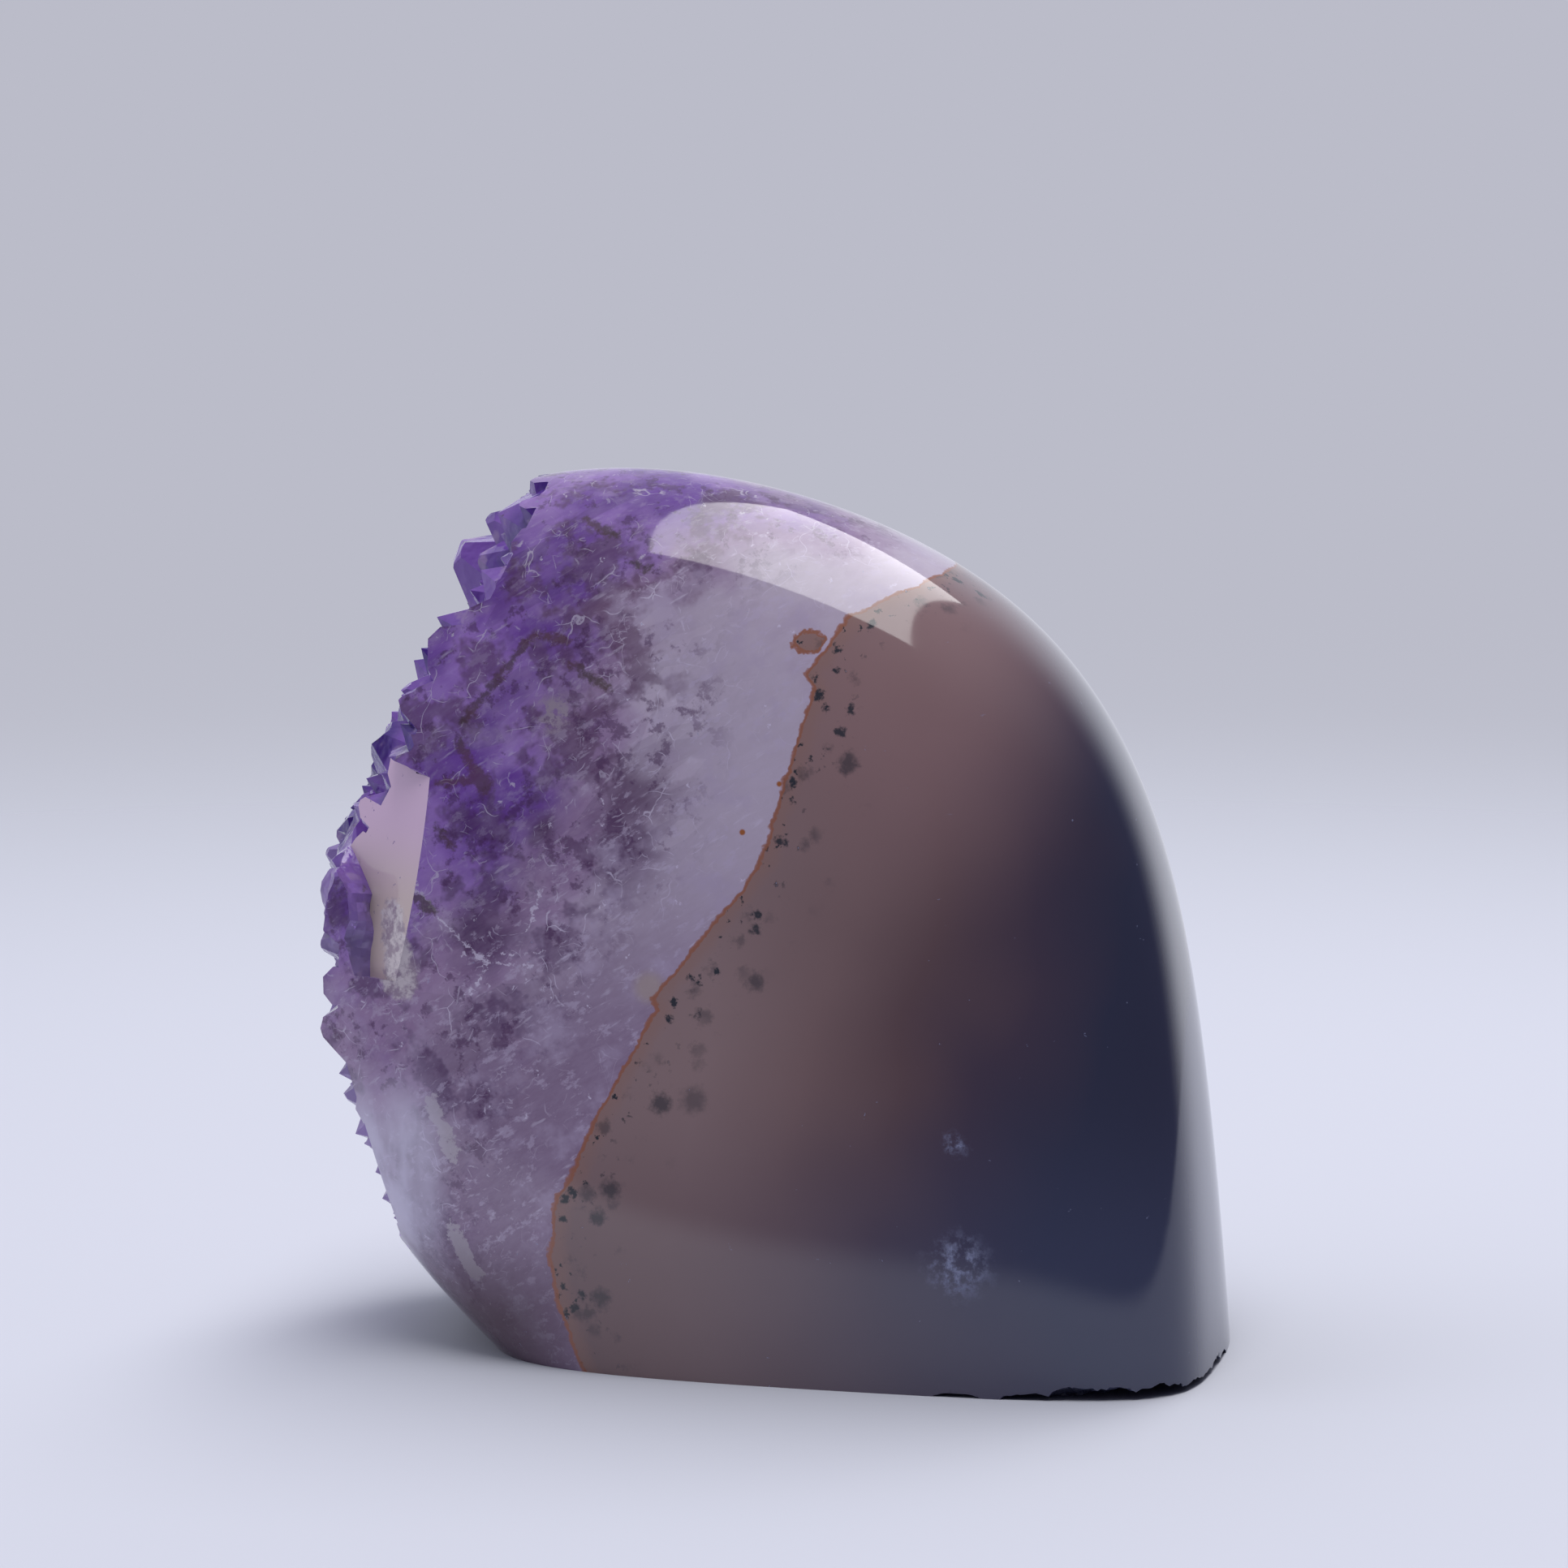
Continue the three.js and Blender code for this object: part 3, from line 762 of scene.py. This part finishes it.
bevel_spots = calculate("MAXIMUM", bevel_spots, bevel_flecks)
bevel_colour = blend(bevel_spots, blend(fade(z, 44, 36), PINK_BEVEL, BEIGE_BEVEL), VIOLET_FLECK)
colour = blend(on_bevel, colour, bevel_colour)
torn = along(ragged, (-30.6, -9.4, 36), (-29.1, -10.3, 31), 1.3, 0.6)
torn_colour = blend(fade(broken, 0.4, 0.6), TORN_DARK, TORN_PALE)
colour = blend(calculate("MULTIPLY", torn, 0.9), colour, torn_colour)
is_sawn = is_kind(SAWN)
SAWN_GREY = srgb(170, 165, 170)
saw_lines = tree.nodes.new("ShaderNodeTexWave")
saw_lines.wave_type = "BANDS"
saw_lines.bands_direction = "X"
put(saw_lines.inputs["Vector"], place)
put(saw_lines.inputs["Scale"], 0.5)
put(saw_lines.inputs["Distortion"], 1.5)
put(saw_lines.inputs["Detail"], 3.0)
colour = blend(calculate("MULTIPLY", is_sawn, 0.25), colour, SAWN_GREY)

# Light goes a little way into the violet quartz and the crystals. Veils, agate, the saw cut and the bevel
# stop it. The saw cut, the chips and the bruises are less glossy than the polish.
QUARTZ_CLEAR = 0.25
CRYSTAL_CLEAR = 0.2
POLISH = 0.05
QUARTZ_IOR = 1.544
SWALLOWED_TO = srgb(170, 130, 226)
SWALLOWED_PER_METRE = 12.0
clear = calculate("MULTIPLY", fade(violet, 0.3, 0.9), QUARTZ_CLEAR)
clear = calculate("MULTIPLY", clear, calculate("SUBTRACT", 1.0, veils))
clear = calculate("MULTIPLY", clear, calculate("SUBTRACT", 1.0, is_agate))
clear = calculate("MULTIPLY_ADD", on_druse, CRYSTAL_CLEAR, clear, clamp=True)
clear = calculate("MULTIPLY", clear, calculate("SUBTRACT", 1.0, calculate("MAXIMUM", is_sawn, on_bevel)))
gloss = calculate("MULTIPLY_ADD", is_sawn, 0.35, POLISH)
gloss = calculate("MULTIPLY_ADD", on_druse, 0.06, gloss)
gloss = calculate("MULTIPLY_ADD", is_kind(CHIPPED), 0.25, gloss)
gloss = calculate("MULTIPLY_ADD", wobble, 0.06, gloss)
gloss = calculate("MULTIPLY_ADD", bruise, 0.3, gloss)

# Only the crystals and the saw cut have a fine relief.
relief = calculate("MULTIPLY", calculate("MULTIPLY", on_druse, cloud(place, 0.7, 2, 0.5)), 0.2)
relief = calculate("MULTIPLY_ADD", calculate("MULTIPLY", is_sawn, saw_lines.outputs["Fac"]), 0.05, relief)
bump = tree.nodes.new("ShaderNodeBump")
bump.inputs["Distance"].default_value = 0.001
put(bump.inputs["Height"], relief)

shine = tree.nodes.new("ShaderNodeBsdfPrincipled")
put(shine.inputs["Base Color"], colour)
put(shine.inputs["Roughness"], gloss)
put(shine.inputs["Normal"], bump.outputs[0])
put(shine.inputs["Transmission Weight"], clear)
shine.inputs["IOR"].default_value = QUARTZ_IOR
swallow = tree.nodes.new("ShaderNodeVolumeAbsorption")
swallow.inputs["Color"].default_value = (*SWALLOWED_TO, 1)
swallow.inputs["Density"].default_value = SWALLOWED_PER_METRE
finish_out = tree.nodes.new("ShaderNodeOutputMaterial")
put(finish_out.inputs["Surface"], shine.outputs[0])
put(finish_out.inputs["Volume"], swallow.outputs[0])
stone_mesh.materials.append(stone_finish)
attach(stone, "root")
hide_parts("amethyst_freeform")

# The floor: plain pale card under the stone. Its far edge fades into the backdrop, and what a polished face
# mirrors of it ends a hand's breadth in front of the stone, where a darker room begins.
FLOOR_REACH = 0.45
FLOOR_FADES = (0.12, 0.42)
MIRRORED_MIDDLE = (0.03, 0.05, 0)
MIRRORED_FADES = (0.145, 0.185)
CARD = srgb(220, 222, 232)
floor_work = bmesh.new()
bmesh.ops.create_circle(floor_work, cap_ends=True, segments=96, radius=FLOOR_REACH)
floor_mesh = bpy.data.meshes.new("floor")
floor_work.to_mesh(floor_mesh)
floor_work.free()
floor = bpy.data.objects.new("floor", floor_mesh)
scene.collection.objects.link(floor)
floor_finish = bpy.data.materials.new("pale_card")
floor_finish.use_nodes = True
floor_mesh.materials.append(floor_finish)
tree = floor_finish.node_tree
tree.nodes.clear()
floor_place = tree.nodes.new("ShaderNodeTexCoord").outputs["Object"]
sight = tree.nodes.new("ShaderNodeLightPath")
far_edge = fade(move("LENGTH", floor_place), *FLOOR_FADES)
mirrored_edge = fade(move("DISTANCE", floor_place, MIRRORED_MIDDLE), *MIRRORED_FADES)
gone = calculate("MAXIMUM", far_edge, calculate("MULTIPLY", mirrored_edge, sight.outputs["Is Glossy Ray"]))
card = tree.nodes.new("ShaderNodeBsdfDiffuse")
card.inputs["Color"].default_value = (*CARD, 1)
open_air = tree.nodes.new("ShaderNodeBsdfTransparent")
both = tree.nodes.new("ShaderNodeMixShader")
put(both.inputs[0], gone)
put(both.inputs[1], card.outputs[0])
put(both.inputs[2], open_air.outputs[0])
put(tree.nodes.new("ShaderNodeOutputMaterial").inputs["Surface"], both.outputs[0])

# Studio light: a pale room behind and to the left, a dark one behind the camera, and one long soft lamp
# overhead, turned a little, which the stone's shoulder mirrors.
PALE_ROOM = srgb(222, 224, 236)
DARK_ROOM = srgb(62, 62, 84)
CEILING = srgb(200, 204, 220)
LOW_BACKDROP = srgb(207, 211, 226)
HIGH_BACKDROP = srgb(187, 188, 201)
LAMP_PLACE = (0.117, 0.09, 0.9)
LAMP_SIZE = (0.34, 1.3)
LAMP_TURN = math.radians(-21)
LAMP_POWER = 6.5
LAMP_COLOUR = (1.0, 0.99, 0.98)
world = bpy.data.worlds.new("studio")
scene.world = world
world.use_nodes = True
tree = world.node_tree
tree.nodes.clear()
outlook = tree.nodes.new("ShaderNodeTexCoord")
looking = move("NORMALIZE", outlook.outputs["Generated"])
towards_back = fade(move("DOT_PRODUCT", looking, (-0.6, 0.79, 0.1)), -0.2, 0.5)
room = blend(towards_back, DARK_ROOM, PALE_ROOM)
looking_up = move("DOT_PRODUCT", looking, (0, 0, 1))
room = blend(fade(looking_up, 0.5, 1.0, 0, 0.5), room, CEILING)
backdrop = blend(fade(looking_up, -0.2, -0.11), LOW_BACKDROP, HIGH_BACKDROP)
sight = tree.nodes.new("ShaderNodeLightPath")
seen = blend(sight.outputs["Is Camera Ray"], room, backdrop)
sky = tree.nodes.new("ShaderNodeBackground")
put(sky.inputs["Color"], seen)
sky.inputs["Strength"].default_value = 1.0
world_out = tree.nodes.new("ShaderNodeOutputWorld")
put(world_out.inputs["Surface"], sky.outputs[0])

lamp_data = bpy.data.lights.new("overhead", "AREA")
lamp_data.shape = "RECTANGLE"
lamp_data.size, lamp_data.size_y = LAMP_SIZE
lamp_data.energy = LAMP_POWER
lamp_data.color = LAMP_COLOUR
lamp = bpy.data.objects.new("overhead", lamp_data)
lamp.location = LAMP_PLACE
lamp.rotation_euler = (0, 0, LAMP_TURN)
scene.collection.objects.link(lamp)
